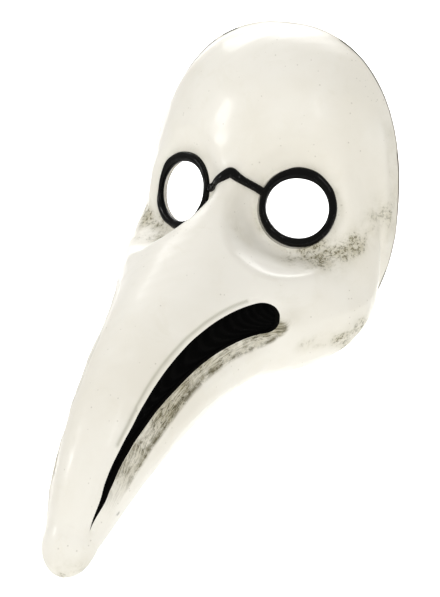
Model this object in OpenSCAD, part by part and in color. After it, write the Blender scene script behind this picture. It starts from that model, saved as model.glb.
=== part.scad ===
// Plague doctor mask: a hollow face and long down-curved beak, with spectacle rims, slots, lining, pads and tie loops.
// X is the wearer's left, Y the back and Z up. The origin is the centre of the flat back edge, where the head goes in.

/* [Face] */
// Width across the back edge
face_width = 160; // [150:1:168]
// Thickness of the moulded wall
wall = 3; // [2.6:0.1:3.2]
// Furthest reach of the mouth slot from its centre line, at the blunt end
slot_reach = 9; // [7:0.5:10]

/* [Eyes] */
// Distance between the eye centres
eye_spacing = 73; // [71:1:75]
// Diameter of each eye hole
eye_hole_d = 34; // [31:1:35]
// Width of the spectacle rim's band
rim_band = 4.9; // [4:0.1:5]
// Height of the spectacle rim over its seat
rim_height = 3; // [2.5:0.1:3.5]
// Width of the bridge over the nose
bridge_width = 4.6; // [3.5:0.1:5]

/* [Inside] */
// Thickness of the felt lining
lining = 1; // [0.8:0.1:1]
// Thickness of the foam pads
pad_thick = 8; // [6:0.5:8]
// Thickness of the binding over the back edge
edge = 1.2; // [1:0.1:1.4]
// Width of the ribbon in the tie loops
ribbon = 10; // [8:0.5:11]
// Clear diameter inside each tie loop
loop_gap = 6.5; // [6.2:0.1:7]

/* [Hidden] */

// Cross-sections of the moulding, from the root of the beak's round tip to the back edge.
// The ridge runs over the top of the beak and up the forehead, and the keel runs under the beak to the chin.
ridge = [[-196, -164], [-189, -136], [-175, -106], [-155, -79], [-132, -55], [-109, -35], [-88, -18], [-70, -4],
         [-58, 7], [-52, 19], [-50, 34], [-47, 52], [-39, 72], [-24, 89], [0, 99]];
keel = [[-173, -179], [-153, -161], [-133, -144], [-111, -129], [-88, -116], [-67, -106], [-49, -101], [-37, -100],
        [-29, -99], [-24, -99], [-20, -99], [-16, -99], [-11, -99], [-6, -99], [0, -99]];
half_width = [15, 21, 27, 32, 38, 47, 60, 73, 79, 80, 79, 77, 75, 77, 80];
// Fullness of each section's upper half: 2 is an ellipse and less is leaner, as beside the nose
crown = [2, 2, 2, 2, 2, 1.9, 1.7, 1.5, 1.4, 1.5, 1.6, 1.8, 2.1, 2.2, 2.3];
// How far each section's sides lie behind its middle
sweep = [0, 0, 0, 0, 0, 0, 3, 8, 13, 17, 20, 19, 14, 8, 0];
tip = [-193, -190];
keel_fullness = 2;
widest = 0.47;
last = len(ridge) - 1;
wide = face_width / 160;

// Eye sockets: the moulding is pressed nearly flat round each eye, out to seat_flat, and blends away by seat_blend
eye_centre = [eye_spacing / 2, -39, -1];
eye_yaw = 18;
eye_pitch = 4;
eye_axis = [sin(eye_yaw) * cos(eye_pitch), -cos(eye_yaw) * cos(eye_pitch), sin(eye_pitch)];
seat_flat = 24;
seat_blend = 39;
pressed = 0.94;
seat_depth = 0.4;
hole_r = eye_hole_d / 2;
rim_r = hole_r + 0.3 + rim_band;

// Valley and lip pressed into each side of the beak under the mouth slot
valley = [[17, -180, -141], [22, -168, -122], [28, -150, -104], [34, -128, -89], [41, -99, -75], [49, -76, -65]];
valley_depth = 2.5;
valley_width = 4.5;
lip = [[16, -178, -150], [22, -160, -130], [27, -138, -112], [34, -110, -98], [42, -80, -90]];
lip_height = 1.2;
lip_width = 7;

// Centre line of the mouth slot, seen from the side: blunt end, two pulls and sharp end
slot_line = [[-77, -56], [-115, -57], [-173, -104], [-188, -164]];
slot_round = 0.08;

cream = [0.94, 0.92, 0.86];
black = [0.04, 0.04, 0.04];
felt = [0.11, 0.10, 0.09];
foam = [0.22, 0.22, 0.23];
satin = [0.07, 0.07, 0.08];

function smooth(t) = let (c = min(max(t, 0), 1)) c * c * (3 - 2 * c);

// One value of the section lists between stations, on a smooth curve
function station(i) = concat(ridge[i], keel[i], [half_width[i], crown[i], sweep[i]]);
function blend(a, b, c, d, f) =
    0.5 * (2 * b + (c - a) * f + (2 * a - 5 * b + 4 * c - d) * f * f + (3 * b - 3 * c + d - a) * f * f * f);
function station_at(u) =
    let (v = min(max(u, 0), last - 0.0001), i = floor(v), b = station(i), c = station(i + 1))
    let (a = i == 0 ? 2 * b - c : station(i - 1), d = i == last - 1 ? 2 * c - b : station(i + 2))
    blend(a, b, c, d, v - i);
function middle(s) = [s[2] + widest * (s[0] - s[2]), s[3] + widest * (s[1] - s[3])];

// A point of the plain moulding: u runs from -1 at the tip to last at the edge, a is the angle round the section
function section(u, a) =
    let (s = station_at(u), c = abs(cos(a)), q = abs(sin(a)), n = sin(a) >= 0 ? s[5] : keel_fullness)
    let (r = (c ^ n + q ^ n) ^ (-1 / n), m = middle(s), e = sin(a) >= 0 ? [s[0], s[1]] : [s[2], s[3]])
    let (p = m + r * q * (e - m) + [s[6] * r * r * c * c, 0], x = sign(cos(a)) * s[4] * wide * r * c)
    u >= 0 ? [x, p.x, p.y]
           : let (k = cos(-90 * u), o = m + (tip - m) * sin(-90 * u)) [x * k, o.x + (p.x - m.x) * k, o.y + (p.y - m.y) * k];

// The same point once the eye sockets are pressed in
function skin(u, a) =
    let (p = section(u, a), side = p.x < 0 ? -1 : 1, v = [abs(p.x), p.y, p.z] - eye_centre, h = v * eye_axis)
    let (r = norm(v - h * eye_axis), near = 1 - smooth((r - seat_flat) / (seat_blend - seat_flat)))
    let (w = eye_centre + v - eye_axis * h * pressed * near * (1 - smooth((abs(h) - 30) / 20)))
    [side * w.x, w.y, w.z];
function normal(u, a) =
    let (n = cross(skin(u + 0.04, a) - skin(u - 0.04, a), skin(u, a + 1.5) - skin(u, a - 1.5)))
    let (k = u >= last ? [n.x, 0, n.z] : n) k / norm(k);

// Raised and sunk lines on the beak
function off_segment(p, a, b) = let (t = min(max((p - a) * (b - a) / ((b - a) * (b - a)), 0), 1)) norm(p - a - t * (b - a));
function off_line(p, line) = min([for (i = [0 : len(line) - 2]) off_segment(p, line[i], line[i + 1])]);
function relief(p) =
    let (q = [abs(p.x), p.y, p.z])
    lip_height * exp(-(off_line(q, lip) / lip_width) ^ 2) - valley_depth * exp(-(off_line(q, valley) / valley_width) ^ 2);

// A point at a depth below the finished outside
function at(u, a, depth) =
    let (p = skin(u, a), w = p + normal(u, a) * (relief(p) - depth)) [w.x, min(w.y, -edge), w.z];
function rows(us, as, depth) = [for (u = us) [for (a = as) at(u, a, depth)]];

// A closed solid between two grids of the same size: a strip, a sleeve (ring) or a sock closed at its first row (tipped)
module between(top, under, ring = false, tipped = false) {
    n = len(top);
    m = len(top[0]);
    back = n * m;
    turns = ring ? m : m - 1;
    next = [for (j = [0 : m - 1]) (j + 1) % m];
    skins = [for (i = [0 : n - 2], j = [0 : turns - 1], f = [0, 1])
             let (a = i * m + j, b = i * m + next[j], c = a + m, d = b + m) f == 0 ? [a, b, d] : [a, d, c]];
    unders = [for (t = skins) [back + t[0], back + t[2], back + t[1]]];
    last_row = (n - 1) * m;
    brim = [for (j = [0 : turns - 1], f = [0, 1])
            let (a = last_row + j, b = last_row + next[j]) f == 0 ? [a, b, back + b] : [a, back + b, back + a]];
    start = tipped ? [[for (j = [m - 1 : -1 : 0]) j], [for (j = [0 : m - 1]) back + j]]
                   : [for (j = [0 : turns - 1], f = [0, 1])
                      let (b = next[j]) f == 0 ? [b, j, back + j] : [b, back + j, back + b]];
    sides = ring ? [] : [for (i = [0 : n - 2], e = [0, 1], f = [0, 1])
                         let (a = i * m + e * (m - 1), b = a + m)
                         e == 0 ? (f == 0 ? [a, b, back + b] : [a, back + b, back + a])
                                : (f == 0 ? [b, a, back + a] : [b, back + a, back + b])];
    points = concat([for (r = top) each r], [for (r = under) each r]);
    polyhedron(points, concat(skins, unders, brim, start, sides), convexity = 8);
}

module patch(us, as, near, far) {
    between(rows(us, as, near), rows(us, as, far));
}

function steps(a, b, n) = [for (i = [0 : n]) a + (b - a) * i / n];

// Rows and turns of the whole shell, closest together round the eyes
shell_rows = concat([-0.97, -0.8, -0.6, -0.4, -0.2], steps(0, 5.5, 10), steps(5.75, 10.75, 20), steps(11.2, 13.8, 6), [last]);
shell_turns = concat(steps(0, 171, 38), [175.5], steps(180, 351, 18));

module on_eye(side) {
    translate([side * eye_centre.x, eye_centre.y, eye_centre.z])
        rotate([90 - eye_pitch, 0, side * eye_yaw])
            children();
}

function bezier(p, t) = (1 - t) ^ 3 * p[0] + 3 * (1 - t) ^ 2 * t * p[1] + 3 * (1 - t) * t ^ 2 * p[2] + t ^ 3 * p[3];
function slot_point(t, side) =
    let (d = bezier(slot_line, min(t + 0.001, 1)) - bezier(slot_line, max(t - 0.001, 0)), n = [d.y, -d.x] / norm(d))
    let (blunt = t < slot_round ? sqrt(1 - (1 - t / slot_round) ^ 2) : 1)
    bezier(slot_line, t) + side * n * slot_reach * (1 - t) ^ 0.85 * blunt;
slot_steps = concat([0, 0.004, 0.015, 0.04], steps(0.08, 0.96, 18));

module slot_shape() {
    polygon(concat([for (t = slot_steps) slot_point(t, 1)], [slot_line[3]],
                   [for (i = [len(slot_steps) - 1 : -1 : 1]) slot_point(slot_steps[i], -1)]));
}

module moulding() {
    between(rows(shell_rows, shell_turns, 0), rows(shell_rows, shell_turns, wall), ring = true, tipped = true);
}

module mask_shell() {
    color(cream)
        resize([face_width, 0, 0])
            difference() {
                moulding();
                for (side = [-1, 1])
                    on_eye(side) {
                        cylinder(h = 60, r = hole_r, center = true, $fn = 60);
                        translate([0, 0, -seat_depth])
                            cylinder(h = 14, r = rim_r + 0.1, $fn = 60);
                    }
                rotate([90, 0, 90])
                    linear_extrude(160, center = true)
                        slot_shape();
            }
}

module rim(side) {
    color(black)
        on_eye(side)
            translate([0, 0, -seat_depth])
                rotate_extrude()
                    difference() {
                        translate([hole_r + 0.3 + rim_band / 2, 0])
                            scale([rim_band / 2, rim_height])
                                circle(r = 1, $fn = 40);
                        translate([0, -rim_height])
                            square([rim_r + 1, rim_height]);
                    }
}

module spectacle_rim_left() { rim(1); }
module spectacle_rim_right() { rim(-1); }

// Half round bar that follows the nose from one rim up over the ridge and down to the other
bridge_steps = [for (i = [-12 : 12]) i / 12];
function bridge_u(t) = 8.65 - 0.32 * abs(t) ^ 1.2;
function bridge_a(t) = 90 - 19 * t;
function bridge_row(t) =
    let (p = at(bridge_u(t), bridge_a(t), 0.6), n = normal(bridge_u(t), bridge_a(t)))
    let (along = at(bridge_u(t + 0.02), bridge_a(t + 0.02), 0) - at(bridge_u(t - 0.02), bridge_a(t - 0.02), 0))
    let (s = cross(along, n) / norm(along))
    [for (k = [0 : 7]) let (f = k * 180 / 7) p + s * cos(f) * bridge_width / 2 + n * sin(f) * (rim_height + 0.2)];
function bridge_root(t) =
    let (p = at(bridge_u(t), bridge_a(t), 2.4), n = normal(bridge_u(t), bridge_a(t)))
    let (along = at(bridge_u(t + 0.02), bridge_a(t + 0.02), 0) - at(bridge_u(t - 0.02), bridge_a(t - 0.02), 0))
    let (s = cross(along, n) / norm(along))
    [for (k = [0 : 7]) let (f = k * 180 / 7) p + s * cos(f) * bridge_width / 2];

module spectacle_bridge() {
    color(black)
        resize([0, 0, 0])
            difference() {
                between([for (t = bridge_steps) bridge_row(t)], [for (t = bridge_steps) bridge_root(t)]);
                patch(steps(7, 10.5, 14), steps(54, 126, 16), 0, 12);
                for (side = [-1, 1])
                    on_eye(side)
                        cylinder(h = 30, r = rim_r + 0.1, center = true, $fn = 60);
            }
}

// Cloth behind each slot: a band that follows the slot down the beak, a little wider than it
function gauze_middle(u) = 36 - (u < 2.7 ? 1.5 : 2.6) * (u - 2.7) ^ 2;
function gauze_half(u) = 14 + 1.3 * u;
gauze_rows = steps(-0.05, 6.05, 26);

function gauze_grid(depth) =
    [for (u = gauze_rows) [for (k = [-4 : 4]) at(u, gauze_middle(u) + gauze_half(u) * k / 4, depth)]];

module mouth_gauze() {
    color(black)
        between(gauze_grid(wall + 0.55), gauze_grid(wall + 1.05));
}

module mouth_gauze_left() { mouth_gauze(); }
module mouth_gauze_right() { mirror([1, 0, 0]) mouth_gauze(); }

lining_rows = concat(steps(7, 10.75, 15), steps(11.2, 13.8, 6));

module face_lining() {
    color(felt)
        resize([0, 0, 0])
            difference() {
                between(rows(lining_rows, shell_turns, wall + 0.3),
                        rows(lining_rows, shell_turns, wall + 0.3 + lining), ring = true);
                for (side = [-1, 1])
                    on_eye(side)
                        cylinder(h = 60, r = hole_r + 2, center = true, $fn = 60);
            }
}

// Strip glued over the raw back edge of the moulding
binding_width = wall + 1.4;

module edge_binding() {
    outside = [for (a = shell_turns) at(last, a, 0)];
    inside = [for (a = shell_turns) at(last, a, binding_width)];
    color(cream)
        rotate([90, 0, 0])
            linear_extrude(edge)
                difference() {
                    polygon([for (p = outside) [p.x, p.z]]);
                    polygon([for (p = inside) [p.x, p.z]]);
                }
}

// Foam pads stand on the lining
pad_foot = wall + 0.3 + lining + 0.4;

module forehead_pad() {
    color(foam)
        patch(steps(11.9, 13.3, 7), steps(60, 120, 12), pad_foot, pad_foot + pad_thick);
}

module cheek_pad() {
    color(foam)
        patch(steps(10.2, 12.2, 7), steps(-46, -18, 8), pad_foot, pad_foot + pad_thick);
}

module cheek_pad_left() { cheek_pad(); }
module cheek_pad_right() { mirror([1, 0, 0]) cheek_pad(); }

// Tie loops: a ribbon folded in two, its tail glued to the lining and its eye towards the back edge
fold = 0.5;
tail = 10;
loop_height = -29;
loop_foot = pad_foot + 1;
loop_lean = 98;
// Angle round the section at u that reaches the height z
function level(u, z) =
    let (s = station_at(u), m = middle(s), up = z >= m.y)
    (up ? 1 : -1) * asin((z - m.y) / ((up ? s[1] : s[3]) - m.y));
loop_end = at(12.2, level(12.2, loop_height), loop_foot);

module at_loop() {
    translate([loop_end.x, loop_end.y, loop_height])
        rotate([0, 0, loop_lean])
            children();
}

module tie_loop() {
    color(satin)
        at_loop()
            linear_extrude(ribbon, center = true) {
                translate([0, loop_gap / 2 + fold])
                    difference() {
                        circle(r = loop_gap / 2 + fold);
                        circle(r = loop_gap / 2);
                    }
                translate([-tail, 0])
                    square([tail - loop_gap / 4, 2 * fold]);
            }
}

module tie_loop_left() { tie_loop(); }
module tie_loop_right() { mirror([1, 0, 0]) tie_loop(); }

// Folded felt patches that grip the tails
patch_height = 14;

module loop_patch() {
    color(felt)
        at_loop()
            linear_extrude(patch_height, center = true)
                difference() {
                    translate([-tail - 1, -0.5])
                        square([tail - 3.2, 2 * fold + 1.4]);
                    translate([-tail - 0.1, -0.1])
                        square([tail, 2 * fold + 0.2]);
                }
}

module loop_patch_left() { loop_patch(); }
module loop_patch_right() { mirror([1, 0, 0]) loop_patch(); }

mask_shell();
spectacle_rim_left();
spectacle_rim_right();
spectacle_bridge();
mouth_gauze_left();
mouth_gauze_right();
face_lining();
edge_binding();
forehead_pad();
cheek_pad_left();
cheek_pad_right();
tie_loop_left();
tie_loop_right();
loop_patch_left();
loop_patch_right();
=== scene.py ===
import math

import bmesh
import bpy
import numpy as np
from mathutils import Matrix, Vector


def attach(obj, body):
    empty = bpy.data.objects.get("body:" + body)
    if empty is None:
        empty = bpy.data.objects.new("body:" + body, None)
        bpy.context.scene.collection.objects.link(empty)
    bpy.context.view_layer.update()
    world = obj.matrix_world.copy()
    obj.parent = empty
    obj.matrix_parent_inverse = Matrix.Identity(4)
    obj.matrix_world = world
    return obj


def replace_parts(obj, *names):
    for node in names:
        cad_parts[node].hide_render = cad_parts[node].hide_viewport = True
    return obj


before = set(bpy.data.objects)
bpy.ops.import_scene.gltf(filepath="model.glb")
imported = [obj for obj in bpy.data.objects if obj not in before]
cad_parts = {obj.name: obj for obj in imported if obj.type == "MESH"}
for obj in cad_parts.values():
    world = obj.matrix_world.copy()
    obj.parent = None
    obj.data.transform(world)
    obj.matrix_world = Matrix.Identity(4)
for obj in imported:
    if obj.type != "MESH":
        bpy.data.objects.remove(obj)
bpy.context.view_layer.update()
MM = 0.001

# ---------------------------------------------------------------- the moulding's surface, in millimetres
# Stations from the beak's tip to the back edge: the ridge over it and the keel under it as (y, z), its half width,
# how square it is above its widest line, and how far that line sweeps back
RIDGE = [(-196, -164), (-189, -136), (-175, -106), (-155, -79), (-132, -55), (-109, -35), (-88, -18), (-70, -4),
         (-58, 7), (-52, 19), (-50, 34), (-47, 52), (-39, 72), (-24, 89), (0, 99)]
KEEL = [(-173, -179), (-153, -161), (-133, -144), (-111, -129), (-88, -116), (-67, -106), (-49, -101), (-37, -100),
        (-29, -99), (-24, -99), (-20, -99), (-16, -99), (-11, -99), (-6, -99), (0, -99)]
HALF_WIDTH = [15, 21, 27, 32, 38, 47, 60, 73, 79, 80, 79, 77, 75, 77, 80]
CROWN = [2, 2, 2, 2, 2, 1.9, 1.7, 1.5, 1.4, 1.5, 1.6, 1.8, 2.1, 2.2, 2.3]
SWEEP = [0, 0, 0, 0, 0, 0, 3, 8, 13, 17, 20, 19, 14, 8, 0]
STATIONS = np.array([[*r, *k, w, c, s] for r, k, w, c, s in zip(RIDGE, KEEL, HALF_WIDTH, CROWN, SWEEP)], float)
LAST = len(STATIONS) - 1
TIP = (-193.0, -190.0)
KEEL_FULLNESS = 2.0
WIDEST = 0.47  # share of the way up from the keel to the ridge
WALL = 3.0
EDGE = 1.2  # room left for the binding behind the back edge

EYE = np.array([36.5, -39.0, -1.0])
EYE_YAW, EYE_PITCH = math.radians(18), math.radians(4)
EYE_AXIS = np.array([math.sin(EYE_YAW) * math.cos(EYE_PITCH), -math.cos(EYE_YAW) * math.cos(EYE_PITCH),
                     math.sin(EYE_PITCH)])
HOLE_R = 17.6
RIM_R = 22.2
SEAT_DEPTH = 0.4
DRUM_REACH = 25
SOCKET_PRESS = 0.94
SOCKET_RADIUS, SOCKET_BLEND = 24, 15
SOCKET_REACH, SOCKET_FADE = 30, 20

# Lines that the folds, hollows and stains follow on the wearer's left
VALLEY = [(17, -180, -141), (22, -168, -122), (28, -150, -104), (34, -128, -89), (41, -99, -75), (49, -76, -65)]
LIP = [(16, -178, -150), (22, -160, -130), (27, -138, -112), (34, -110, -98), (42, -80, -90)]
UNDER_EYE = [(34, -68, -13), (44, -67, -22), (52, -59, -25), (59, -47, -23), (65, -32, -19), (69, -19, -13)]
CHEEK_FOLD = [(76, -8, -8), (73, -10, -21), (68, -30, -31), (62, -47, -37), (55, -62, -40), (43, -81, -38)]
TEMPLE = [(72, -10, 46), (75, -11, 24), (77, -8, 2), (76, -6, -16)]
SLOT_LINE = [(-77, -56), (-115, -57), (-173, -104), (-188, -164)]
SLOT_REACH = 9.0
SLOT_TAPER = 0.85
BLUNT = 0.08  # share of the slot's run that its blunt end takes
SCORED_GAP = 2.4
LEFT, RIGHT = np.array([1.0, 1, 1]), np.array([-1.0, 1, 1])


def smooth(t):
    t = np.clip(t, 0, 1)
    return t * t * (3 - 2 * t)


def station_at(u):
    v = np.clip(u, 0, LAST - 1e-4)
    i = np.floor(v).astype(int)
    f = (v - i)[..., None]
    b, c = STATIONS[i], STATIONS[i + 1]
    a = np.where((i == 0)[..., None], 2 * b - c, STATIONS[np.maximum(i - 1, 0)])
    d = np.where((i == LAST - 1)[..., None], 2 * c - b, STATIONS[np.minimum(i + 2, LAST)])
    return 0.5 * (2 * b + (c - a) * f + (2 * a - 5 * b + 4 * c - d) * f**2 + (3 * b - 3 * c + d - a) * f**3)


def section(u, a):
    """The plain moulding: u runs from -1 at the tip to LAST at the back edge, a is the angle round the section."""
    u, a = np.broadcast_arrays(np.asarray(u, float), np.radians(np.asarray(a, float)))
    s = station_at(u)
    up = np.sin(a) >= -1e-12
    c, q = np.abs(np.cos(a)), np.abs(np.sin(a))
    n = np.where(up, s[..., 5], KEEL_FULLNESS)
    r = (c**n + q**n) ** (-1 / n)
    my = s[..., 2] + WIDEST * (s[..., 0] - s[..., 2])
    mz = s[..., 3] + WIDEST * (s[..., 1] - s[..., 3])
    ey = np.where(up, s[..., 0], s[..., 2]) - my
    ez = np.where(up, s[..., 1], s[..., 3]) - mz
    x = np.sign(np.cos(a)) * s[..., 4] * r * c
    y = my + r * q * ey + s[..., 6] * (r * c) ** 2
    z = mz + r * q * ez
    lean = np.clip(-u, 0, 2) * math.pi / 2
    k, h = np.cos(lean), np.sin(lean)
    cap = u < 0
    x = np.where(cap, x * k, x)
    y = np.where(cap, my + (TIP[0] - my) * h + (y - my) * k, y)
    z = np.where(cap, mz + (TIP[1] - mz) * h + (z - mz) * k, z)
    return np.stack([x, y, z], -1)


def skin(u, a):
    """The same surface once the eye sockets are pressed in."""
    p = section(u, a)
    side = np.where(p[..., 0] < 0, -1.0, 1.0)
    v = p * np.stack([side, side * 0 + 1, side * 0 + 1], -1) - EYE
    h = v @ EYE_AXIS
    r = np.linalg.norm(v - h[..., None] * EYE_AXIS, axis=-1)
    near = SOCKET_PRESS * (1 - smooth((r - SOCKET_RADIUS) / SOCKET_BLEND))
    near = near * (1 - smooth((np.abs(h) - SOCKET_REACH) / SOCKET_FADE))
    w = EYE + v - EYE_AXIS * (h * near)[..., None]
    w[..., 0] *= side
    return w


def normal(u, a):
    """Outward directions; at the back edge they lie in its plane."""
    n = np.cross(skin(u + 0.04, a) - skin(u - 0.04, a), skin(u, a + 1.5) - skin(u, a - 1.5))
    edge = (np.asarray(u, float) + np.zeros(n.shape[:-1])) >= LAST - 1e-6
    n[..., 1] = np.where(edge, 0, n[..., 1])
    return n / np.maximum(np.linalg.norm(n, axis=-1, keepdims=True), 1e-9)


def on_left(p):
    """Points of both sides, brought over to the wearer's left."""
    return p * np.where(p[..., :1] < 0, RIGHT, LEFT)


def off_line(p, line):
    """Distance of each point from a line of points, in space on the wearer's left or in side view."""
    q = on_left(p) if p.shape[-1] == 3 else p
    best = np.full(q.shape[:-1], 1e9)
    line = np.array(line, float)
    for a, b in zip(line[:-1], line[1:]):
        t = np.clip((q - a) @ (b - a) / ((b - a) @ (b - a)), 0, 1)
        best = np.minimum(best, np.linalg.norm(q - a - t[..., None] * (b - a), axis=-1))
    return best


def bell(p, line, width):
    return np.exp(-(off_line(p, line) / width) ** 2)


def bezier(t):
    p = np.array(SLOT_LINE, float)
    t = np.asarray(t, float)[..., None]
    return (1 - t) ** 3 * p[0] + 3 * (1 - t) ** 2 * t * p[1] + 3 * (1 - t) * t**2 * p[2] + t**3 * p[3]


def slot_edge(side, grow=0.0, n=90):
    """One edge of the slot, upper for side 1; its blunt end is a little squarer below."""
    t = np.concatenate([np.linspace(0, BLUNT, 16) ** 2 / BLUNT, np.linspace(BLUNT + 0.01, 1, n)])
    d = bezier(np.minimum(t + 1e-3, 1)) - bezier(np.maximum(t - 1e-3, 0))
    nrm = np.stack([d[:, 1], -d[:, 0]], -1) / np.linalg.norm(d, axis=1, keepdims=True)
    k = 2.0 if side > 0 else 2.8
    blunt = np.where(t < BLUNT, np.clip(1 - (1 - t / BLUNT) ** k, 0, 1) ** (1 / k), 1)
    return bezier(t) + side * nrm * np.maximum(SLOT_REACH * (1 - t) ** SLOT_TAPER * blunt + grow, 0)[:, None]


def relief(p):
    """The valley under the slot, fading towards the tip, and the lip below it."""
    fade = 0.15 + 0.85 * smooth((p[..., 2] + 150) / 34)
    return 1.2 * bell(p, LIP, 7) - 2.5 * fade * bell(p, VALLEY, 4.5)


def waves(p, size, seed):
    """Soft unevenness left by hands and wet pulp: a few crossed waves, between -1 and 1."""
    rng = np.random.default_rng(seed)
    total = np.zeros(p.shape[:-1])
    for _ in range(7):
        k = rng.normal(size=3)
        k *= 2 * math.pi / (size * rng.uniform(0.7, 1.5) * np.linalg.norm(k))
        total += np.sin(p @ k + rng.uniform(0, 6.3))
    return total / 4


def handwork(p):
    """Modelled folds, the scored line over the mouth, its softened edges and the unevenness of the moulding."""
    flank = smooth((np.abs(p[..., 0]) - 8) / 6) * smooth((-50 - p[..., 1]) / 10)
    upper, lower = off_line(p[..., 1:], slot_edge(1)), off_line(p[..., 1:], slot_edge(-1))
    scored = bell(p[..., 1:], slot_edge(1, SCORED_GAP)[14:70], 0.9)
    d = 0.9 * bell(p, CHEEK_FOLD, 9) - 1.6 * bell(p, UNDER_EYE, 7) + 1.2 * bell(p, TEMPLE, 3.5)
    d -= 0.8 * flank * np.exp(-(np.minimum(upper, lower) / 1.3) ** 2)
    d -= 0.6 * flank * scored
    return d + 0.28 * waves(p, 30, 4) + 0.12 * waves(p, 11, 9)


def at(u, a, depth, worked=False):
    """Points at a depth under the moulding's face, with its handwork if worked."""
    p, n = skin(u, a), normal(u, a)
    d = relief(p) - depth + (handwork(p) if worked else 0)
    w = p + n * np.asarray(d)[..., None]
    w[..., 1] = np.minimum(w[..., 1], -EDGE)
    return w


# ---------------------------------------------------------------- mesh helpers
def new_object(name, verts, faces, materials=(), smooth_shaded=True):
    mesh = bpy.data.meshes.new(name)
    mesh.from_pydata((np.asarray(verts) * MM).tolist(), [], faces)
    mesh.update()
    ob = bpy.data.objects.new(name, mesh)
    bpy.context.scene.collection.objects.link(ob)
    for m in materials:
        mesh.materials.append(m)
    mesh.polygons.foreach_set("use_smooth", [smooth_shaded] * len(mesh.polygons))
    return ob


def strip_faces(rows, cols, ring, start=0, flip=False):
    """Quads over a grid of points, joined round its columns for a ring."""
    i, j = np.meshgrid(np.arange(rows - 1), np.arange(cols if ring else cols - 1), indexing="ij")
    k = (j + 1) % cols
    q = np.stack([i * cols + j, (i + 1) * cols + j, (i + 1) * cols + k, i * cols + k], -1).reshape(-1, 4) + start
    return (q[:, ::-1] if flip else q).tolist()


def between(name, top, under, ring=False, tipped=False, materials=()):
    """A closed mesh between two grids with the same number of columns; a tipped one is capped at its first rows."""
    (n, m), k = top.shape[:2], under.shape[0]
    base = n * m
    faces = strip_faces(n, m, ring) + strip_faces(k, m, ring, base, True)
    turns = m if ring else m - 1
    for j in range(turns):
        a, b = (n - 1) * m + j, (n - 1) * m + (j + 1) % m
        c, d = base + (k - 1) * m + j, base + (k - 1) * m + (j + 1) % m
        faces.append((a, c, d, b))
        if not tipped:
            faces.append((j, (j + 1) % m, base + (j + 1) % m, base + j))
    if tipped:
        faces.append(tuple(range(m)))
        faces.append(tuple(base + j for j in reversed(range(m))))
    if not ring:
        for e in (0, m - 1):
            for i in range(n - 1):
                lo, hi = round(i * (k - 1) / (n - 1)), round((i + 1) * (k - 1) / (n - 1))
                f = (i * m + e, (i + 1) * m + e, base + hi * m + e, base + lo * m + e)
                faces.append(f[::-1] if e == 0 else f)
    return new_object(name, np.concatenate([top.reshape(-1, 3), under.reshape(-1, 3)]), faces, materials)


def tube(name, rings, closed, materials=()):
    """A closed mesh through rings of points: an endless ring, or a bar with its ends filled."""
    rings = np.asarray(rings)
    n, m = rings.shape[:2]
    faces = strip_faces(n, m, True)
    if closed:
        faces += [((n - 1) * m + j, j, (j + 1) % m, (n - 1) * m + (j + 1) % m) for j in range(m)]
    else:
        faces += [tuple(range(m)), tuple((n - 1) * m + j for j in reversed(range(m)))]
    ob = new_object(name, rings.reshape(-1, 3), faces, materials)
    tidy_normals(ob)
    return ob


def tidy_normals(ob):
    bm = bmesh.new()
    bm.from_mesh(ob.data)
    bmesh.ops.recalc_face_normals(bm, faces=bm.faces)
    bm.to_mesh(ob.data)
    bm.free()


def eye_matrix(side):
    turn = Matrix.Rotation(side * EYE_YAW, 4, "Z") @ Matrix.Rotation(math.pi / 2 - EYE_PITCH, 4, "X")
    return Matrix.Translation(Vector((side * EYE[0], EYE[1], EYE[2])) * MM) @ turn


def drum(name, side, radius, low, high, sides=128):
    """A plain cutter on an eye's axis."""
    t = np.linspace(0, 2 * math.pi, sides, endpoint=False)
    rings = [np.stack([radius * np.cos(t), radius * np.sin(t), t * 0 + h], -1) for h in (low, high)]
    ob = tube(name, rings, False)
    ob.data.transform(eye_matrix(side))
    tidy_normals(ob)
    return ob


def bake(ob):
    """Applies ob's modifiers."""
    graph = bpy.context.evaluated_depsgraph_get()
    graph.update()
    made = bpy.data.meshes.new_from_object(ob.evaluated_get(graph))
    ob.modifiers.clear()
    old, ob.data = ob.data, made
    made.name = ob.name
    bpy.data.meshes.remove(old)


def cut(ob, cutters):
    """Takes each cutter away from ob, and removes the cutters."""
    for c in cutters:
        mod = ob.modifiers.new("cut", "BOOLEAN")
        mod.operation = "DIFFERENCE"
        mod.solver = "EXACT"
        mod.object = c
    bake(ob)
    for c in cutters:
        bpy.data.objects.remove(c)


def points_of(ob):
    """An object's points in millimetres."""
    v = np.empty(len(ob.data.vertices) * 3)
    ob.data.vertices.foreach_get("co", v)
    return v.reshape(-1, 3) / MM


def paint(ob, name, values):
    """Stores one value a point for the materials to read."""
    layer = ob.data.attributes.new(name, "FLOAT", "POINT")
    layer.data.foreach_set("value", np.ascontiguousarray(values, dtype=np.float32))


def mirrored(ob, name):
    """A copy for the wearer's right."""
    data = ob.data.copy()
    data.transform(Matrix.Scale(-1, 4, (1, 0, 0)))
    data.flip_normals()
    data.name = name
    other = bpy.data.objects.new(name, data)
    bpy.context.scene.collection.objects.link(other)
    return other


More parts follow.
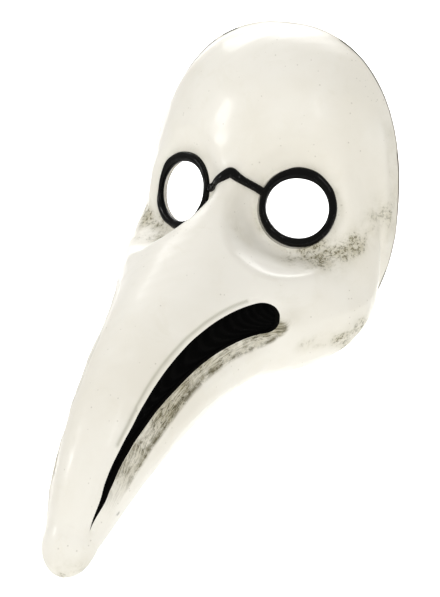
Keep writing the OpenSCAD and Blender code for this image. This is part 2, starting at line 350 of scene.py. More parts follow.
# ---------------------------------------------------------------- materials
class Shader:
    """A short way to write node materials."""

    def __init__(self, name, **constants):
        self.mat = bpy.data.materials.new(name)
        self.mat.use_nodes = True
        self.tree = self.mat.node_tree
        self.bsdf = next(n for n in self.tree.nodes if n.type == "BSDF_PRINCIPLED")
        for key, value in constants.items():
            self.bsdf.inputs[key.replace("_", " ")].default_value = value
        self.where = self.node("TexCoord").outputs["Object"]

    def node(self, kind, **settings):
        n = self.tree.nodes.new("ShaderNode" + kind)
        for key, value in settings.items():
            setattr(n, key, value)
        return n

    def plug(self, value, socket):
        if isinstance(value, bpy.types.NodeSocket):
            self.tree.links.new(value, socket)
        else:
            socket.default_value = value

    def out(self, socket, name):
        self.plug(socket, self.bsdf.inputs[name])

    def stretched(self, scale, turn=(0, 0, 0)):
        n = self.node("Mapping")
        self.plug(self.where, n.inputs["Vector"])
        n.inputs["Scale"].default_value = scale
        n.inputs["Rotation"].default_value = turn
        return n.outputs["Vector"]

    def noise(self, scale, detail=4, rough=0.55, where=None, warp=0.0):
        n = self.node("TexNoise")
        self.plug(where or self.where, n.inputs["Vector"])
        n.inputs["Scale"].default_value = scale
        n.inputs["Detail"].default_value = detail
        n.inputs["Roughness"].default_value = rough
        n.inputs["Distortion"].default_value = warp
        return n.outputs["Fac"]

    def cells(self, scale, feature="F1", where=None, out="Distance"):
        n = self.node("TexVoronoi", feature=feature)
        self.plug(where or self.where, n.inputs["Vector"])
        n.inputs["Scale"].default_value = scale
        return n.outputs[out]

    def ramp(self, value, *stops):
        n = self.node("ValToRGB")
        self.plug(value, n.inputs["Fac"])
        bar = n.color_ramp.elements
        while len(bar) < len(stops):
            bar.new(0.5)
        for e, (pos, colour) in zip(bar, stops):
            e.position = pos
            e.color = (colour, colour, colour, 1) if isinstance(colour, (int, float)) else (*colour, 1)
        return n.outputs["Color"]

    def span(self, value, a, b, c=0.0, d=1.0):
        n = self.node("MapRange", interpolation_type="SMOOTHSTEP")
        self.plug(value, n.inputs["Value"])
        for key, v in zip(("From Min", "From Max", "To Min", "To Max"), (a, b, c, d)):
            n.inputs[key].default_value = v
        return n.outputs["Result"]

    def math(self, kind, a, b=0.0):
        n = self.node("Math", operation=kind)
        n.use_clamp = False
        self.plug(a, n.inputs[0])
        self.plug(b, n.inputs[1])
        return n.outputs[0]

    def mix(self, fac, a, b, blend="MIX"):
        n = self.node("Mix", data_type="RGBA", blend_type=blend)
        n.clamp_factor = True
        self.plug(fac, n.inputs[0])
        for value, socket in ((a, n.inputs[6]), (b, n.inputs[7])):
            self.plug((*value, 1) if isinstance(value, tuple) else value, socket)
        return n.outputs[2]

    def painted(self, name):
        n = self.node("Attribute", attribute_name=name)
        return n.outputs["Fac"]

    def along(self, run, off):
        """Coordinates that follow the mouth slot: long down it and short across it."""
        down, across, drift = 0.09, 1.15, 0.7
        n = self.node("CombineXYZ")
        self.plug(self.math("MULTIPLY", self.painted(run), down), n.inputs[0])
        self.plug(self.math("MULTIPLY", self.painted(off), across), n.inputs[1])
        wobble = self.node("VectorMath", operation="ADD")
        self.plug(n.outputs[0], wobble.inputs[0])
        scaled = self.node("VectorMath", operation="SCALE")
        wander = self.node("TexNoise")
        self.plug(self.where, wander.inputs["Vector"])
        wander.inputs["Scale"].default_value = 60
        self.plug(wander.outputs["Color"], scaled.inputs[0])
        scaled.inputs["Scale"].default_value = drift
        self.plug(scaled.outputs[0], wobble.inputs[1])
        return wobble.outputs[0]

    def bump(self, *layers):
        """Layers of (height, strength, distance in mm), one over the other."""
        last = None
        for height, strength, mm in layers:
            n = self.node("Bump")
            n.inputs["Strength"].default_value = strength
            n.inputs["Distance"].default_value = mm * MM
            self.plug(height, n.inputs["Height"])
            if last:
                self.plug(last, n.inputs["Normal"])
            last = n.outputs["Normal"]
        self.out(last, "Normal")


def gesso():
    """Cream gesso, yellowed in clouds, with patina along the mouth, rubbed-in dirt mixed with painted shade, and
    specks.
    """
    s = Shader("aged_gesso", Coat_Weight=0.30, Coat_Roughness=0.17, Coat_IOR=1.4, Specular_IOR_Level=0.25)
    bone, yellowed, buff = (0.905, 0.875, 0.790), (0.850, 0.812, 0.712), (0.800, 0.757, 0.640)
    olive, umber, soot, mud = (0.470, 0.430, 0.300), (0.150, 0.130, 0.065), (0.045, 0.038, 0.016), (0.095, 0.080, 0.038)
    patina, dirt_and_shade = s.painted("patina"), s.painted("dirt_and_shade")
    cloud, fine = s.noise(16, 5), s.noise(120, 6, 0.65)
    base = s.mix(s.span(cloud, 0.36, 0.66), bone, yellowed)
    base = s.mix(s.span(s.noise(55, 7, 0.7, warp=0.6), 0.52, 0.72, 0, 0.35), base, buff)
    # wiped-on patina: a stain, then brush streaks and crackle that run along the mouth
    grain = s.along("slot_run", "slot_off")
    streak = s.noise(1.0, 7, 0.75, grain, 0.4)
    blotch = s.noise(75, 6, 0.7, warp=0.8)
    stain = s.math("MULTIPLY", patina, s.span(blotch, 0.30, 0.62, 0.35, 1.0))
    base = s.mix(s.math("MULTIPLY", stain, 0.85), base, olive)
    wiped = s.math("MULTIPLY", stain, s.span(streak, 0.47, 0.57))
    base = s.mix(s.math("MULTIPLY", wiped, 0.90), base, umber)
    crack = s.cells(1.25, "DISTANCE_TO_EDGE", grain)
    lines = s.math("MULTIPLY", s.span(crack, 0.0, 0.09, 1, 0), s.span(stain, 0.35, 0.8))
    lines = s.math("MULTIPLY", lines, s.span(s.noise(110, 3), 0.38, 0.50))
    base = s.mix(s.math("MULTIPLY", lines, 0.9), base, soot)
    packed = s.math("MULTIPLY", s.painted("crease"), s.span(s.noise(170, 5, 0.7), 0.42, 0.58))
    base = s.mix(s.math("MULTIPLY", packed, 0.88), base, mud)
    base = s.mix(s.math("MULTIPLY", s.painted("scored"), 0.55), base, (0.330, 0.310, 0.225))
    # rubbed-in dirt with painted shade mixed in, gritty where it is heaviest, and specks all over
    rubbed_dirt_and_shade = s.math("MULTIPLY", dirt_and_shade, s.span(s.noise(80, 6, 0.7, warp=0.3), 0.34, 0.66, 0.2, 1.0))
    base = s.mix(s.math("MULTIPLY", rubbed_dirt_and_shade, 0.85), base, (0.500, 0.462, 0.330))
    grit = s.math("MULTIPLY", s.span(rubbed_dirt_and_shade, 0.22, 0.75), s.span(s.noise(520, 5, 0.75), 0.49, 0.57))
    base = s.mix(s.math("MULTIPLY", grit, 0.85), base, umber)
    chosen = s.span(s.noise(85, 2), 0.53, 0.58)
    specks = s.math("MULTIPLY", s.span(s.cells(260), 0.08, 0.16, 1, 0), chosen)
    base = s.mix(s.math("MULTIPLY", specks, 0.30), base, (0.300, 0.270, 0.190))
    s.out(base, "Base Color")
    worn = s.math("MULTIPLY", s.math("MAXIMUM", wiped, rubbed_dirt_and_shade), 0.25)
    s.out(s.math("ADD", s.span(cloud, 0.3, 0.7, 0.34, 0.44), worn), "Roughness")
    s.bump((s.noise(45, 3), 0.25, 0.5), (fine, 0.22, 0.12), (lines, 0.5, -0.12), (specks, 0.4, -0.08))
    return s.mat


def pulp(name, light, dark, scale):
    """Raw paper pulp: flat, fibrous and unpainted."""
    s = Shader(name, Specular_IOR_Level=0.25, Roughness=0.85)
    sheets = s.span(s.cells(scale, "F1", out="Color"), 0.1, 0.9, 0.0, 0.35)
    base = s.mix(s.span(s.noise(260, 7, 0.7), 0.35, 0.7), light, dark)
    base = s.mix(sheets, base, tuple(0.6 * c for c in dark))
    fibre = s.noise(700, 4, 0.6, s.stretched((1, 0.2, 0.3), (0.4, 0.3, 0)))
    base = s.mix(s.span(fibre, 0.56, 0.66, 0, 0.3), base, tuple(0.5 * c for c in dark))
    s.out(base, "Base Color")
    s.bump((s.cells(scale, "DISTANCE_TO_EDGE"), 0.5, 0.3), (fibre, 0.5, 0.15))
    return s.mat


def lacquer():
    """Glossy black, worn a little brown."""
    s = Shader("black_lacquer", Coat_Weight=0.16, Coat_Roughness=0.06, Specular_IOR_Level=0.06)
    wear = s.span(s.noise(240, 7, 0.7), 0.62, 0.74, 0, 0.25)
    s.out(s.mix(wear, (0.0022, 0.0020, 0.0017), (0.014, 0.012, 0.008)), "Base Color")
    s.out(s.span(s.noise(60, 4), 0.3, 0.7, 0.16, 0.30), "Roughness")
    s.bump((s.noise(90, 4), 0.35, 0.35), (s.noise(420, 4), 0.15, 0.06))
    return s.mat


def ink():
    """Flat black paint on the slots' cut walls."""
    s = Shader("black_paint", Specular_IOR_Level=0.03)
    s.out(s.mix(s.noise(200, 5), (0.0022, 0.0020, 0.0018), (0.006, 0.0055, 0.0045)), "Base Color")
    s.out(s.span(s.noise(90, 4), 0.3, 0.7, 0.55, 0.75), "Roughness")
    s.bump((s.noise(300, 5), 0.4, 0.1))
    return s.mat


def weave(name, colour, lift, pitch, rough, sheen=0.0, turn=(0.3, 0.2, 0.5), strength=0.6, ior=1.5):
    """A plain weave: two sets of threads crossing, from waves in the object's own space."""
    s = Shader(name, Sheen_Weight=sheen, Sheen_Roughness=0.4, Specular_IOR_Level=0.06, IOR=ior)
    sets = []
    for axis in ("X", "Y"):
        n = s.node("TexWave", wave_type="BANDS", bands_direction=axis)
        s.plug(s.stretched((1, 1, 1), turn), n.inputs["Vector"])
        n.inputs["Scale"].default_value = 1 / (pitch * MM * math.pi)
        n.inputs["Distortion"].default_value = 1.5
        n.inputs["Detail Scale"].default_value = 2.0
        sets.append(n.outputs["Fac"])
    cloth = s.math("MAXIMUM", sets[0], sets[1])
    shade = s.math("MULTIPLY", s.span(cloth, 0.3, 1.0), s.span(s.noise(140, 4), 0.3, 0.7, 0.6, 1.0))
    s.out(s.mix(shade, colour, lift), "Base Color")
    s.out(s.span(s.noise(60, 3), 0.3, 0.7, rough - 0.06, rough + 0.06), "Roughness")
    s.bump((cloth, strength, pitch * 0.3), (s.noise(900, 3), 0.3, 0.1))
    return s.mat


def felted():
    """Matted black fibres."""
    s = Shader("black_felt", Sheen_Weight=0.25, Sheen_Roughness=0.6, Specular_IOR_Level=0.1)
    fuzz = s.noise(900, 6, 0.75, warp=1.5)
    clump = s.noise(110, 5, 0.6)
    base = s.mix(s.span(fuzz, 0.35, 0.7), (0.008, 0.0075, 0.007), (0.030, 0.028, 0.026))
    s.out(s.mix(s.span(clump, 0.5, 0.75, 0, 0.4), base, (0.040, 0.037, 0.033)), "Base Color")
    s.out(s.span(clump, 0.3, 0.7, 0.88, 0.98), "Roughness")
    s.bump((clump, 0.4, 0.4), (fuzz, 0.8, 0.3))
    return s.mat


def satin():
    """Ribbon with fine threads along it."""
    s = Shader("black_satin", Anisotropic=0.5, Specular_IOR_Level=0.5, Sheen_Weight=0.1)
    thread = s.noise(1400, 3, 0.5, s.stretched((0.05, 1, 1)))
    s.out(s.mix(thread, (0.006, 0.006, 0.007), (0.022, 0.022, 0.026)), "Base Color")
    s.out(s.span(s.noise(150, 3), 0.3, 0.7, 0.26, 0.38), "Roughness")
    s.bump((thread, 0.3, 0.05))
    return s.mat


def backdrop():
    s = Shader("pale_floor", Roughness=0.9, Specular_IOR_Level=0.1)
    s.out(s.mix(s.noise(3, 4), (0.93, 0.93, 0.92), (0.90, 0.90, 0.89)), "Base Color")
    return s.mat


CREAM = gesso()
CUT = pulp("cut_pulp", (0.82, 0.79, 0.72), (0.66, 0.62, 0.53), 300)
RAW = pulp("pasted_paper", (0.52, 0.47, 0.38), (0.40, 0.35, 0.27), 42)
LACQUER = lacquer()
INK = ink()
GAUZE = weave("black_gauze", (0.0015, 0.0015, 0.0015), (0.0045, 0.0044, 0.0042), 0.6, 0.92, ior=1.1)
FELT = felted()
TAPE = weave("painted_tape", (0.74, 0.70, 0.60), (0.88, 0.85, 0.76), 0.7, 0.62, strength=0.35)
JERSEY = weave("charcoal_jersey", (0.012, 0.012, 0.013), (0.055, 0.055, 0.060), 0.8, 0.85, sheen=0.35)
SATIN = satin()

# ---------------------------------------------------------------- the shell
ROWS = 300
COLS = 320
OUTSIDE, INSIDE, SAWN, INKED = range(4)  # the shell's material places


def spread(a, b, n, dense):
    """n + 1 values from a to b, packed closer where dense(value) is larger."""
    fine = np.linspace(a, b, 4000)
    c = np.concatenate([[0], np.cumsum(0.5 * (dense(fine[1:]) + dense(fine[:-1])))])
    return np.interp(np.linspace(0, c[-1], n + 1), c, fine)


def row_density(u):
    return np.interp(u, [0, 6, 7, 10, 12, 14], [1.6, 1.3, 1.0, 0.8, 1.1, 1.0])


def turn_density(a):
    return np.interp(a, [0, 180, 230, 310, 360], [1.2, 1.2, 0.7, 0.7, 1.2])


tip_u = -np.cos(np.linspace(0.18, math.pi / 2, ROWS // 8, endpoint=False))
row_u = np.concatenate([tip_u, spread(0, LAST, ROWS, row_density)])
turn_a = spread(0, 360, COLS, turn_density)[:-1]
outer = at(row_u[:, None], turn_a[None, :], 0, worked=True)
inner_u = np.concatenate([row_u[row_u < 0][::4], row_u[row_u >= 0][::3]])
inner_u[-1] = LAST
inner = at(inner_u[:, None], turn_a[None, :], WALL)
shell = between("shell_moulding", outer, inner, ring=True, tipped=True, materials=(CREAM, RAW, CUT, INK))
outside = (len(row_u) - 1) * COLS
index = np.full(len(shell.data.polygons), OUTSIDE)
index[outside:outside + (len(inner_u) - 1) * COLS] = INSIDE
shell.data.polygons.foreach_set("material_index", index)
tidy_normals(shell)


# The slots are cut by hand: the one on the wearer's right stops a little short of its upper edge
TRIM = {1: 0.0, -1: -2.0}


def slot_cutter(side):
    ring = np.concatenate([slot_edge(1, TRIM[side]), slot_edge(-1)[-2:0:-1]])
    rings = [np.column_stack([np.full(len(ring), x), ring]) for x in (side * 2.0, side * 90.0)]
    return tube("slot_cutter", rings, False)


cutters = []
for side in (-1, 1):
    cutters += [drum("hole", side, HOLE_R, -DRUM_REACH, DRUM_REACH), slot_cutter(side),
                drum("seat", side, RIM_R + 0.1, -SEAT_DEPTH, 14)]
cut(shell, cutters)

# the walls that the cutting left, and what is painted on them
verts = points_of(shell)
in_profile = verts[:, 1:]
to_upper, to_low = off_line(in_profile, slot_edge(1)), off_line(in_profile, slot_edge(-1))
to_top = np.where(verts[:, 0] > 0, to_upper, off_line(in_profile, slot_edge(1, TRIM[-1])))
to_slot = np.minimum(to_top, to_low)
left = on_left(verts) - EYE
height = left @ EYE_AXIS
to_eye = np.linalg.norm(left - height[:, None] * EYE_AXIS, axis=1)
on_slot = (to_slot < 0.03) & (verts[:, 1] < -60)
on_hole = np.abs(to_eye - HOLE_R) < 0.05
for poly in shell.data.polygons:
    corner = list(poly.vertices)
    if on_slot[corner].all():
        poly.material_index = INKED
    elif on_hole[corner].all():
        poly.material_index = SAWN
    poly.use_smooth = True
shell.data.set_sharp_from_angle(angle=math.radians(38))

z, y, x = verts[:, 2], verts[:, 1], np.abs(verts[:, 0])
middle = bezier(np.linspace(0, 1, 200))
run = np.concatenate([[0], np.cumsum(np.linalg.norm(np.diff(middle, axis=0), axis=1))])
nearest = np.array([np.argmin(((middle - q) ** 2).sum(1)) for q in in_profile])
slot_off = np.linalg.norm(in_profile - middle[nearest], axis=1)
# dirt packed into the valley under the slot, out to a dark crease
below = np.clip((to_upper - to_low) / 3, 0, 1)
past = to_low - np.interp(y, [-180, -150, -110, -90, -76], [6.0, 7.5, 8.5, 7.5, 4.5])
ends = smooth((z + 166) / 30) * smooth((-64 - y) / 14) * below * smooth((x - 8) / 6)
heavy = smooth((z + 148) / 18)
patina = ends * (0.4 + 0.6 * heavy) * smooth((2.2 - past) / 3.2) * (0.95 + 0.25 * np.sin(0.09 * y + 1.2))
NICK = [(20, -172, -156), (20, -174, -157)]
crease = ends * heavy * np.exp(-((past + 0.4) / 1.1) ** 2) + bell(verts, NICK, 1.0)
scored = bell(in_profile, slot_edge(1, SCORED_GAP)[18:82], 0.8) * smooth((x - 8) / 6) * (y < -60)

# smears of dirt, one of them partly painted shade: how dark, how wide, and the line each follows
SMEARS_AND_SHADE = [
    (1.50, 5, [(47, -37, -23), (54, -38, -24), (60, -36, -22), (65, -32, -19), (69, -27, -16)]),
    # partly painted shade: a soft darkening beneath the under-eye dirt
    (0.60, 8, [(41, -50, -24), (52, -50, -30), (62, -42, -28), (71, -22, -12), (75, -12, 2)]),
    (0.55, 5, [(14, -66, -12), (24, -62, -18), (34, -52, -22), (47, -44, -26)]),
    (0.75, 5, [(60, -58, -71), (67, -44, -70), (72, -35, -68), (76, -28, -63)]),
    (0.75, 7, [(50, -8, -80), (62, -22, -76), (71, -30, -70), (76, -26, -62)]),
    (0.30, 6, [(49, -80, -61), (54, -70, -56)]),
]
FAR_CHEEK = [(60, -48, -36), (51, -48, -31), (42, -45, -29)]
FAR_NOSE = [(14, -82, -24), (0, -80, -18)]
# the wearer's right also gets less of the painted shade
RIGHT_SIDE_SHARE = 0.58  # the wearer's right is less dirty
dirt_and_shade = sum(dark * bell(verts, line, width) for dark, width, line in SMEARS_AND_SHADE)
dirt_and_shade += 0.40 * np.exp(-((to_eye - 23.5) / 2.5) ** 2) * (np.abs(height) < 12)
dirt_and_shade += 0.65 * np.exp(-((z + 187) / 8) ** 2) * (y < -150)
# painted shade: a darker band near the back edge on each side, where the surface turns away from the light
dirt_and_shade += 0.30 * smooth((y + 10.5) / 3) * smooth((z + 30) / 20) * smooth((62 - z) / 20) * (x > 60)
dirt_and_shade *= np.where(verts[:, 0] < 0, RIGHT_SIDE_SHARE, 1.0)
dirt_and_shade += 0.50 * bell(verts, FAR_CHEEK, 6) * (verts[:, 0] < 0)
dirt_and_shade += 0.34 * bell(verts * RIGHT, FAR_NOSE, 6) * (verts[:, 0] < 4)
for layer, values in (("patina", np.clip(patina, 0, 1)), ("crease", crease), ("scored", scored), ("slot_off", slot_off),
                      ("slot_run", run[nearest]), ("dirt_and_shade", np.clip(dirt_and_shade, 0, 1))):
    paint(shell, layer, values)
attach(shell, "root")
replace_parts(shell, "mask_shell")

# ---------------------------------------------------------------- spectacle rims and bridge
# Round each eye from the wearer's left, every 45 degrees: how far in and out the painted band reaches
BAND_LEFT = ([17.6, 17.3, 16.4, 17.0, 17.6, 16.3, 16.2, 17.0], [22.2, 22.8, 22.9, 22.0, 21.6, 21.1, 21.5, 21.9])
BAND_RIGHT = ([17.7, 17.5, 16.6, 17.4, 17.7, 17.6, 17.2, 17.2], [20.8, 21.6, 22.3, 22.8, 20.4, 22.8, 21.8, 20.3])


def round_spline(values, t):
    """A smooth closed curve through evenly spaced values."""
    v = np.array(values, float)
    f = t / (2 * math.pi) * len(v)
    i, f = int(f) % len(v), f - int(f)
    a, b, c, d = (v[(i + k) % len(v)] for k in (-1, 0, 1, 2))
    return 0.5 * (2 * b + (c - a) * f + (2 * a - 5 * b + 4 * c - d) * f**2 + (3 * b - 3 * c + d - a) * f**3)


def rim_mesh(name, side, band, seed):
    """A hand-laid ring: its band and height wander a little, and it climbs where it leans on the nose."""
    rng = np.random.default_rng(seed)
    phase = rng.uniform(0, 6.3, 4)
    low_nose = math.radians(225 if side > 0 else 315)
    rings = []
    for t in np.linspace(0, 2 * math.pi, 240, endpoint=False):
        wander = 0.10 * math.sin(5 * t + phase[0]) + 0.07 * math.sin(11 * t + phase[1])
        r_in, r_out = round_spline(band[0], t), round_spline(band[1], t) + wander
        mid, half = (r_in + r_out) / 2, (r_out - r_in) / 2
        turn = (t - low_nose + math.pi) % (2 * math.pi) - math.pi
        climb = (1.6 if side > 0 else 0.5) * math.exp(-(turn / 0.55) ** 2)
        high = 2.9 + wander
        profile = []
        for k in range(22):
            f = math.pi * (k / 21)
            r = mid + half * math.copysign(abs(math.cos(f)) ** 0.8, math.cos(f))
            profile.append((r * math.cos(t), r * math.sin(t), climb - SEAT_DEPTH + high * math.sin(f) ** 0.7))
        for r in (mid - half, mid, mid + half):
            profile.append((r * math.cos(t), r * math.sin(t), -SEAT_DEPTH - 0.1))
        rings.append(profile)
    ob = tube(name, rings, True, (LACQUER,))
    ob.data.transform(eye_matrix(side))
    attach(ob, "root")
    return ob


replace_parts(rim_mesh("rim_left", 1, BAND_LEFT, 3), "spectacle_rim_left")
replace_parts(rim_mesh("rim_right", -1, BAND_RIGHT, 8), "spectacle_rim_right")


def bridge_mesh():
    """The inverted V over the nose: thick at its apex, thin where its legs leave it, and flared into the rims."""
    t = np.linspace(-0.74, 0.82, 90)
    q = np.sqrt(t**2 + 0.006) - 0.0775
    u = 8.655 - 0.26 * (1 - np.exp(-q / 0.16)) - 0.1 * q + 0.14 * t / (np.abs(t) + 0.13)
    a = 90 - 19.3 * t
    p = at(u, a, 0.0)
    n = normal(u, a)
    d = np.gradient(p, axis=0)
    side = np.cross(d, n)
    side /= np.linalg.norm(side, axis=1, keepdims=True)
    rings = []
    for k in range(len(t)):
        wide = 2.25 + 0.85 * math.exp(-(t[k] / 0.22) ** 2) + 0.6 * abs(t[k]) ** 7
        high = 2.7 + 0.3 * math.exp(-(t[k] / 0.3) ** 2)
        f = np.linspace(0, math.pi, 17)
        cos = np.sign(np.cos(f)) * np.abs(np.cos(f)) ** 0.8
        over = p[k] + side[k] * (cos * wide)[:, None] + n[k] * (np.sin(f) ** 0.7 * high - 0.4)[:, None]
        under = p[k] - side[k] * (np.array([1.0, 0.0, -1.0]) * wide)[:, None] - n[k] * 1.2
        rings.append(np.concatenate([over, under]))
    ob = tube("bridge", rings, False, (LACQUER,))
    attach(ob, "root")
    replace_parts(ob, "spectacle_bridge")


bridge_mesh()


def gauze_mesh():
    """A band of cloth pasted inside the beak's left flank, covering the slot with a margin."""
    u = np.linspace(-0.05, 6.05, 140)[:, None]
    k = np.linspace(-1, 1, 36)[None, :]
    mid = 36 - np.where(u < 2.7, 1.5, 2.6) * (u - 2.7) ** 2
    a = mid + (14 + 1.3 * u) * k
    sag = 0.25 * (1 - k**2) * np.sin(np.clip((u + 0.05) / 6.1, 0, 1) * math.pi)
    return between("gauze_left", at(u, a, WALL + 0.25 + sag), at(u, a, WALL + 0.6 + sag), materials=(GAUZE,))


gauze = gauze_mesh()
tidy_normals(gauze)
for ob, node in ((gauze, "mouth_gauze_left"), (mirrored(gauze, "gauze_right"), "mouth_gauze_right")):
    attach(ob, "root")
    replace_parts(ob, node)

# ---------------------------------------------------------------- felt lining
FOOT = WALL + 0.3
lining_u = np.linspace(7, 13.8, 110)[:, None]
lining_a = np.linspace(0, 360, 240, endpoint=False)[None, :]
ripple = 0.15 * waves(skin(lining_u, lining_a), 18, 21)
glued, worn = (at(lining_u, lining_a, depth) for depth in (FOOT + 0.05 * ripple, FOOT + 1.0 + ripple))
lining = between("felt_lining", glued, worn, ring=True, materials=(FELT,))
tidy_normals(lining)
cut(lining, [drum("lining_hole", side, 19.2, -DRUM_REACH, DRUM_REACH) for side in (-1, 1)])
lining.data.set_sharp_from_angle(angle=math.radians(50))
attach(lining, "root")
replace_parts(lining, "face_lining")


# ---------------------------------------------------------------- binding over the back edge
def binding_mesh():
    """A flat tape along the edge, its corners rolled over."""
    a = np.linspace(0, 360, 360, endpoint=False)
    edge = np.full(a.shape, float(LAST))
    p, n = at(edge, a, 0.0), normal(edge, a)
    p[:, 1] = 0
    width = WALL + 1.4
    profile = [(0, -1.2), (0, -0.55), (0.12, -0.22), (0.4, -0.03), (width / 2, 0.0), (width - 0.4, -0.03),
               (width - 0.12, -0.22), (width, -0.55), (width, -1.2), (width / 2, -1.2)]
    rings = [[p[i] - n[i] * d + np.array([0, h, 0]) for d, h in profile] for i in range(len(a))]
    ob = tube("edge_tape", rings, True, (TAPE,))
    ob.data.set_sharp_from_angle(angle=math.radians(40))
    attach(ob, "root")
    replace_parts(ob, "edge_binding")


binding_mesh()

# ---------------------------------------------------------------- foam pads
PAD_START = 0.93  # of its final size, before it swells
PAD_SWELL = 0.9  # the most that a point may move, in millimetres
PAD_VOXEL = 2.5 * MM
PAD_FRAMES = 20


def pad_mesh(node, name):
    """A foam pad under jersey: starts a little smaller than its space and swells into it."""
    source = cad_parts[node]
    ob = bpy.data.objects.new(name, source.data.copy())
    bpy.context.scene.collection.objects.link(ob)
    ob.data.materials.clear()
    bm = bmesh.new()
    bm.from_mesh(ob.data)
    bmesh.ops.remove_doubles(bm, verts=bm.verts, dist=1e-6)
    middle = sum((v.co for v in bm.verts), Vector()) / len(bm.verts)
    for v in bm.verts:
        v.co = middle + (v.co - middle) * PAD_START
    bm.to_mesh(ob.data)
    bm.free()
    remesh = ob.modifiers.new("remesh", "REMESH")
    remesh.mode = "VOXEL"
    remesh.voxel_size = PAD_VOXEL
    bake(ob)
    start = points_of(ob)
    cloth = ob.modifiers.new("cloth", "CLOTH")
    cloth.settings.use_pressure = True
    cloth.settings.uniform_pressure_force = 4
    cloth.settings.effector_weights.gravity = 0
    cloth.settings.quality = 5
    cloth.point_cache.frame_start, cloth.point_cache.frame_end = 1, PAD_FRAMES
    for f in range(1, PAD_FRAMES + 1):
        bpy.context.scene.frame_set(f)
    bake(ob)
    bpy.context.scene.frame_set(1)
    moved = points_of(ob) - start
    far = np.linalg.norm(moved, axis=1, keepdims=True)
    moved *= np.minimum(1, PAD_SWELL / np.maximum(far, 1e-9))
    ob.data.vertices.foreach_set("co", ((start + moved) * MM).ravel())
    ease = ob.modifiers.new("ease", "SMOOTH")
    ease.factor, ease.iterations = 0.5, 3
    finer = ob.modifiers.new("finer", "SUBSURF")
    finer.levels = finer.render_levels = 1
    bake(ob)
    ob.data.materials.append(JERSEY)
    for poly in ob.data.polygons:
        poly.use_smooth = True
    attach(ob, "root")
    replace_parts(ob, node)


for node, name in (("forehead_pad", "pad_forehead"), ("cheek_pad_left", "pad_cheek_left"),
                   ("cheek_pad_right", "pad_cheek_right")):
    pad_mesh(node, name)

# ---------------------------------------------------------------- tie loops and their patches
LOOP_FOOT = FOOT + 1.0 + 0.4 + 1.0  # past the felt, a gap and half of the patch
LOOP_Z = -29.0
loop_u = np.array(12.2)
loop_station = station_at(loop_u)
loop_mid = loop_station[3] + WIDEST * (loop_station[1] - loop_station[3])
loop_a = -math.degrees(math.asin((LOOP_Z - loop_mid) / (loop_station[3] - loop_mid)))
loop_end = at(loop_u, loop_a, LOOP_FOOT)
LOOP_TURN = Matrix.Rotation(math.radians(98), 4, "Z")
LOOP_FRAME = Matrix.Translation(Vector((loop_end[0], loop_end[1], LOOP_Z)) * MM) @ LOOP_TURN


def loop_mesh():
    """One ribbon, folded in two: both layers of the tail and the eye between them."""
    r = 3.5
    path = [(x, 0.25) for x in np.linspace(-9.9, -1.4, 14)]
    path += [(r * math.sin(t), r + 0.25 - r * math.cos(t)) for t in np.linspace(0.05, 2 * math.pi - 0.42, 70)]
    path += [(x, 0.78 + 0.5 * math.exp(-((x + 1.9) / 0.9) ** 2)) for x in np.linspace(-2.1, -9.7, 14)]
    path = np.array(path)
    d = np.gradient(path, axis=0)
    d /= np.linalg.norm(d, axis=1, keepdims=True)
    side = np.stack([-d[:, 1], d[:, 0]], -1)
    across = np.linspace(-1, 1, 13)
    rings = []
    for k, (p, s) in enumerate(zip(path, side)):
        half = 4.9 - 0.12 * math.sin(k * 0.21)
        cup = 0.16 * (1 - across**2) * math.sin(k * 0.16) - 0.10 * across**8
        lift = 0.12 * math.sin(k * 0.35)
        face = [(p[0] + s[0] * (0.2 + c), p[1] + s[1] * (0.2 + c), half * w + lift) for w, c in zip(across, cup)]
        face += [(p[0] + s[0] * (c - 0.2), p[1] + s[1] * (c - 0.2), half * w + lift)
                 for w, c in zip(across[::-1], cup[::-1])]
        rings.append(face)
    ob = tube("loop_left", rings, False, (SATIN,))
    ob.data.transform(LOOP_FRAME)
    return ob


def patch_mesh():
    """A felt tab folded round the tail, its four edges pressed thin."""
    xs, zs = np.linspace(-11, -4.2, 34)[:, None], np.linspace(-7, 7, 56)[None, :]
    thin = smooth(np.minimum(np.minimum(xs + 11, -4.2 - xs) / 0.9, (7 - np.abs(zs)) / 0.9) + 0.15)
    lump = 0.10 * np.sin(1.3 * xs + 0.4 * zs) * np.sin(0.9 * zs)
    wide, tall = np.broadcast_arrays(xs, zs)
    top = np.stack([wide, 0.5 + 0.15 + thin * 1.2 + lump, tall], -1)
    under = np.stack([wide, 0.5 - 0.15 - thin * 1.1 + lump, tall], -1)
    ob = between("patch_left", top, under, materials=(FELT,))
    ob.data.transform(LOOP_FRAME)
    tidy_normals(ob)
    return ob


loop, patch = loop_mesh(), patch_mesh()
loop.data.set_sharp_from_angle(angle=math.radians(50))
for made, slot_name, stem in ((loop, "ribbon", "tie_loop"), (patch, "felt", "loop_patch")):
    twin = mirrored(made, made.name.replace("left", "right"))
    for ob, side in ((made, "left"), (twin, "right")):
        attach(ob, "root")
        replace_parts(ob, f"{stem}_{side}")

# ---------------------------------------------------------------- camera, lights and floor
AZ, EL, ROLL = math.radians(29), math.radians(5.5), math.radians(5.5)
DISTANCE = 1.3
CENTRE = Vector((0, -0.051, 0.015))
SHIFT_RIGHT, SHIFT_UP = -0.0067, -0.0703
back = Vector((math.sin(AZ) * math.cos(EL), -math.cos(AZ) * math.cos(EL), math.sin(EL)))
right = Vector((math.cos(AZ), math.sin(AZ), 0))
up = back.cross(right)
right, up = right * math.cos(ROLL) + up * math.sin(ROLL), up * math.cos(ROLL) - right * math.sin(ROLL)
eye_point = CENTRE + back * DISTANCE
aim = CENTRE + right * SHIFT_RIGHT + up * SHIFT_UP
away = (eye_point - aim).normalized()
side_on = up.cross(away).normalized()
over = away.cross(side_on)
cam = bpy.data.cameras.new("camera")
cam.sensor_fit = "VERTICAL"
cam.sensor_height = 36
cam.lens = 141.1
cam.dof.use_dof = False
camera = bpy.data.objects.new("camera", cam)
camera.matrix_world = Matrix.Translation(eye_point) @ Matrix((side_on, over, away)).transposed().to_4x4()
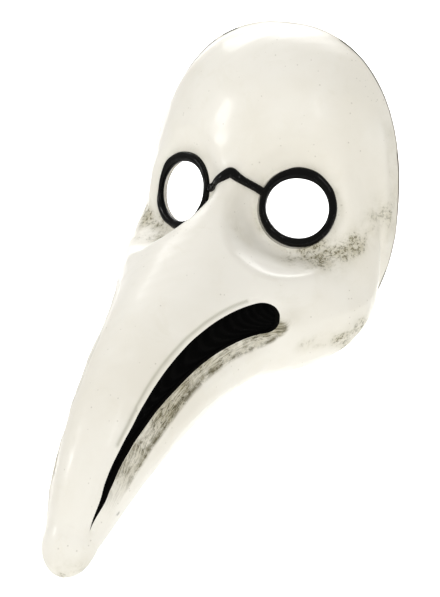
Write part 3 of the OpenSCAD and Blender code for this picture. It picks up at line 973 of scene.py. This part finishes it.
bpy.context.scene.collection.objects.link(camera)
bpy.context.scene.camera = camera


def lamp(name, where, size, watts, target=(0, -0.08, -0.03), tint=(1, 1, 1), shine=True):
    data = bpy.data.lights.new(name, "AREA")
    data.shape = "RECTANGLE"
    data.size, data.size_y = size
    data.energy = watts
    data.color = tint
    ob = bpy.data.objects.new(name, data)
    ob.location = where
    ob.visible_glossy = shine
    ob.rotation_euler = (Vector(target) - Vector(where)).to_track_quat("-Z", "Y").to_euler()
    bpy.context.scene.collection.objects.link(ob)


lamp("key", (-1.05, -0.95, 0.30), (0.16, 0.34), 3.4)
lamp("fill", (0.95, -1.15, -0.1), (0.9, 1.1), 6.5, shine=False)
lamp("glint", (0.85, -1.15, 0.75), (0.05, 0.45), 1.8)
lamp("top", (0.0, -0.55, 1.3), (1.0, 1.0), 2.2, shine=False)
lamp("wash", (-1.1, 1.25, 1.1), (3.0, 1.0), 75, target=(-1.4, 2.7, -0.25))
lamp("floor_wash", (-0.9, 1.3, 1.5), (2.4, 1.6), 45, target=(-1.0, 1.5, -0.4))


FLOOR_Z = -0.42


def floor_mesh():
    """A floor that curves up behind the object."""
    profile = [(-3.0, 0.0), (-1.0, 0.0), (1.6, 0.0)]
    profile += [(1.6 + 1.2 * math.sin(t), 1.2 - 1.2 * math.cos(t)) for t in np.linspace(0.1, math.pi / 2, 14)]
    profile += [(2.8, 2.0), (2.8, 4.0)]
    xs = np.linspace(-4, 4, 9)
    verts = np.array([[(x, y, z + FLOOR_Z) for x in xs] for y, z in profile]) / MM
    ob = new_object("floor", verts.reshape(-1, 3), strip_faces(len(profile), len(xs), False), (backdrop(),))
    tidy_normals(ob)


floor_mesh()
world = bpy.data.worlds.new("studio")
bpy.context.scene.world = world
world.use_nodes = True
sky = next(n for n in world.node_tree.nodes if n.type == "BACKGROUND")
sky.inputs["Color"].default_value = (1.0, 1.0, 1.0, 1)
sky.inputs["Strength"].default_value = 0.51
bpy.context.scene.view_settings.view_transform = "Standard"
